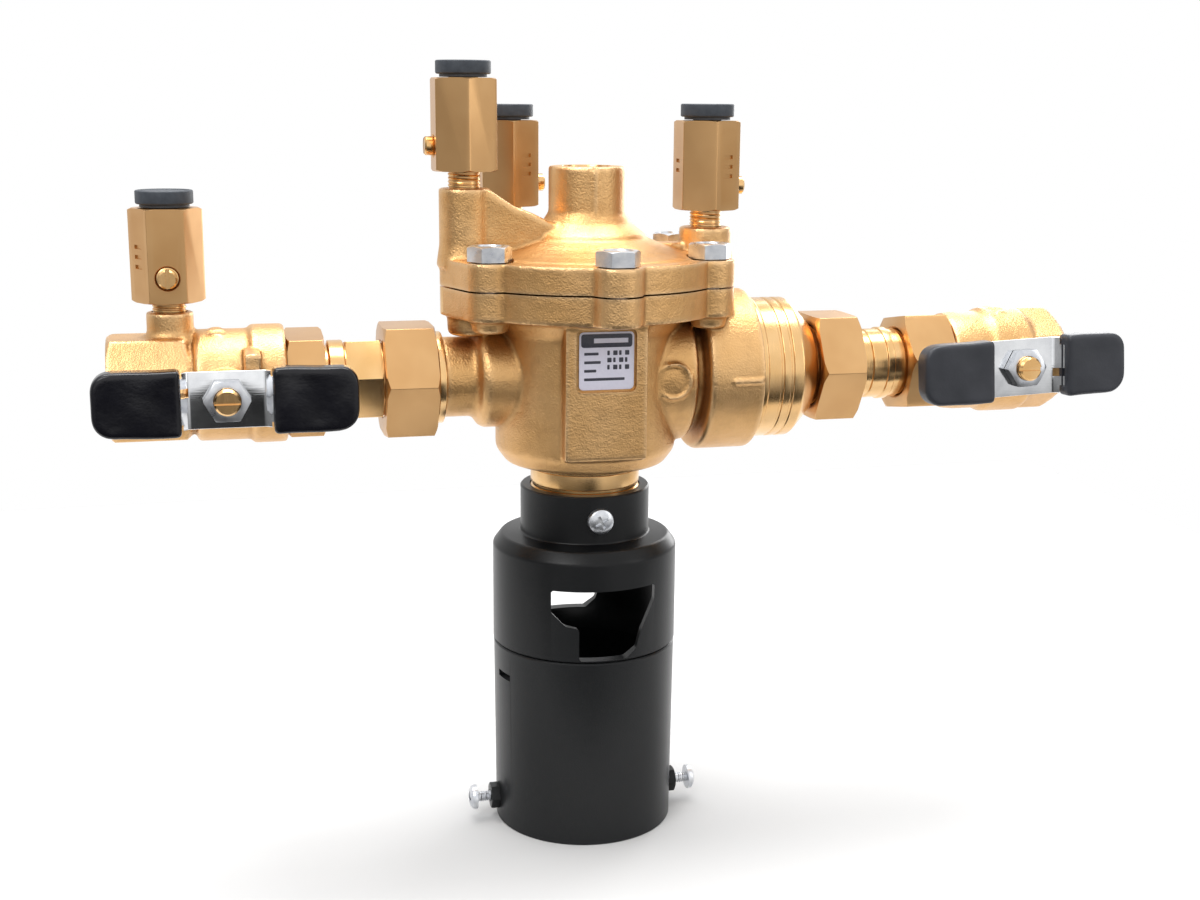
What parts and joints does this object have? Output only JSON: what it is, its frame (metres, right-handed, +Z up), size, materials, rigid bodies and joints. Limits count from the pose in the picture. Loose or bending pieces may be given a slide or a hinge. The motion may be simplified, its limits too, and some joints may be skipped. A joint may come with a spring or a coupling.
{
  "type": "backflow preventer",
  "caption": "Brass reduced-pressure-zone backflow preventer with bolted cover, union ball valves, test cocks and an air-gap drain funnel.",
  "frame": {"origin": "centre of the inlet port's end face, on the pipe axis", "axes": "+X along the pipe with the flow, -X out of the inlet port, +Y towards the back, away from the valve handles, +Z up, towards the cover"},
  "size_m": [0.3868, 0.1136, 0.2944],
  "materials": {
    "cast_brass": "bead-blasted forged brass, satin",
    "turned_brass": "turned brass, bright with fine tool lines",
    "zinc": "zinc-plated steel",
    "stainless": "stainless spring steel",
    "funnel_plastic": "satin moulded black plastic",
    "black_vinyl": "glossy dipped vinyl",
    "grey_vinyl": "satin dipped vinyl",
    "cap_rubber": "matt moulded rubber",
    "seal_rubber": "matt moulded rubber",
    "acetal": "machined white acetal",
    "label_film": "printed polyester film"
  },
  "bodies": {
    "body": {"body_casting": "cast_brass", "cover": "cast_brass", "outlet_housing": "turned_brass", "label_plate": "label_film", "cover_bolt_1": "zinc", "cover_bolt_2": "zinc", "cover_bolt_3": "zinc", "cover_bolt_4": "zinc", "cover_bolt_5": "zinc", "cover_bolt_6": "zinc", "relief_seat": "stainless", "relief_spring": "stainless", "diaphragm": "seal_rubber", "inlet_check_seat": "acetal", "inlet_check_guide": "acetal", "inlet_check_spring": "stainless", "inlet_union_gasket": "seal_rubber", "inlet_tailpiece": "turned_brass", "inlet_valve_body": "cast_brass", "inlet_valve_end_cap": "cast_brass", "outlet_check_seat": "acetal", "outlet_check_guide": "acetal", "outlet_check_spring": "stainless", "outlet_union_gasket": "seal_rubber", "outlet_tailpiece": "turned_brass", "outlet_valve_body": "cast_brass", "outlet_valve_end_cap": "cast_brass", "test_cock_1_body": "cast_brass", "test_cock_2_body": "cast_brass", "test_cock_3_body": "cast_brass", "test_cock_4_body": "cast_brass", "funnel_upper": "funnel_plastic", "funnel_lower": "funnel_plastic", "funnel_collar_screw": "zinc"},
    "inlet_handle": {"inlet_ball_and_stem": "turned_brass", "inlet_handle_plate": "zinc", "inlet_handle_nut": "zinc", "inlet_handle_grip_left": "black_vinyl", "inlet_handle_grip_right": "black_vinyl"},
    "outlet_handle": {"outlet_ball_and_stem": "turned_brass", "outlet_handle_plate": "zinc", "outlet_handle_nut": "zinc", "outlet_handle_grip_left": "grey_vinyl", "outlet_handle_grip_right": "grey_vinyl"},
    "inlet_check": {"inlet_check_poppet": "acetal"},
    "outlet_check": {"outlet_check_poppet": "acetal"},
    "relief": {"relief_piston": "turned_brass", "relief_disc": "seal_rubber"},
    "inlet_nut": {"inlet_union_nut": "cast_brass"},
    "outlet_nut": {"outlet_union_nut": "cast_brass"},
    "cock_1_screw": {"test_cock_1_screw": "turned_brass"},
    "cock_1_cap": {"test_cock_1_cap": "cap_rubber"},
    "cock_2_screw": {"test_cock_2_screw": "turned_brass"},
    "cock_2_cap": {"test_cock_2_cap": "cap_rubber"},
    "cock_3_screw": {"test_cock_3_screw": "turned_brass"},
    "cock_3_cap": {"test_cock_3_cap": "cap_rubber"},
    "cock_4_screw": {"test_cock_4_screw": "turned_brass"},
    "cock_4_cap": {"test_cock_4_cap": "cap_rubber"},
    "clamp_screw_1": {"drain_clamp_screw_1": "zinc"},
    "clamp_screw_2": {"drain_clamp_screw_2": "zinc"}
  },
  "joints": [
    {"name": "inlet_handle_turn", "type": "hinge", "parent": "body", "child": "inlet_handle", "pos_m": [0.0405, -0.031, 0], "axis": [0, 1, 0], "range_deg": [0, 90]},
    {"name": "outlet_handle_turn", "type": "hinge", "parent": "body", "child": "outlet_handle", "pos_m": [0.3423, -0.031, 0.00162], "axis": [0, 0.9986, -0.0523], "range_deg": [0, 90]},
    {"name": "inlet_check_slide", "type": "slide", "parent": "body", "child": "inlet_check", "axis": [1, 0, 0], "range_m": [0, 0.0062], "stiffness_N_per_m": 400, "springref_m": -0.008, "deforming": ["inlet_check_spring"]},
    {"name": "outlet_check_slide", "type": "slide", "parent": "body", "child": "outlet_check", "axis": [1, 0, 0], "range_m": [0, 0.008], "stiffness_N_per_m": 400, "springref_m": -0.008, "deforming": ["outlet_check_spring"]},
    {"name": "relief_slide", "type": "slide", "parent": "body", "child": "relief", "axis": [0, 0, -1], "range_m": [0, 0.0055], "stiffness_N_per_m": 1500, "springref_m": -0.008, "deforming": ["relief_spring", "diaphragm"]},
    {"name": "inlet_nut_turn", "type": "hinge", "parent": "body", "child": "inlet_nut", "pos_m": [0.107, 0, 0], "axis": [1, 0, 0], "continuous": true},
    {"name": "outlet_nut_turn", "type": "hinge", "parent": "body", "child": "outlet_nut", "pos_m": [0.273, 0, 0], "axis": [1, 0, 0], "continuous": true},
    {"name": "cock_1_turn", "type": "hinge", "parent": "body", "child": "cock_1_screw", "pos_m": [0.0223, 0, 0.0397], "axis": [0, -1, 0], "range_deg": [0, 90]},
    {"name": "cock_1_cap_lift", "type": "slide", "parent": "body", "child": "cock_1_cap", "axis": [0, 0, 1], "range_m": [0, 0.012]},
    {"name": "cock_2_turn", "type": "hinge", "parent": "body", "child": "cock_2_screw", "pos_m": [0.128, -0.005, 0.0853], "axis": [-1, 0, 0], "range_deg": [0, 90]},
    {"name": "cock_2_cap_lift", "type": "slide", "parent": "body", "child": "cock_2_cap", "axis": [0, 0, 1], "range_m": [0, 0.012]},
    {"name": "cock_3_turn", "type": "hinge", "parent": "body", "child": "cock_3_screw", "pos_m": [0.1525, 0.0389, 0.07], "axis": [1, 0, 0], "range_deg": [0, 90]},
    {"name": "cock_3_cap_lift", "type": "slide", "parent": "body", "child": "cock_3_cap", "axis": [0, 0, 1], "range_m": [0, 0.012]},
    {"name": "cock_4_turn", "type": "hinge", "parent": "body", "child": "cock_4_screw", "pos_m": [0.2207, -0.0032, 0.0707], "axis": [1, 0, 0], "range_deg": [0, 90]},
    {"name": "cock_4_cap_lift", "type": "slide", "parent": "body", "child": "cock_4_cap", "axis": [0, 0, 1], "range_m": [0, 0.012]},
    {"name": "clamp_screw_1_slide", "type": "slide", "parent": "body", "child": "clamp_screw_1", "axis": [1, 0, 0], "range_m": [-0.003, 0.002]},
    {"name": "clamp_screw_2_slide", "type": "slide", "parent": "body", "child": "clamp_screw_2", "axis": [-1, 0, 0], "range_m": [-0.003, 0.002]}
  ]
}
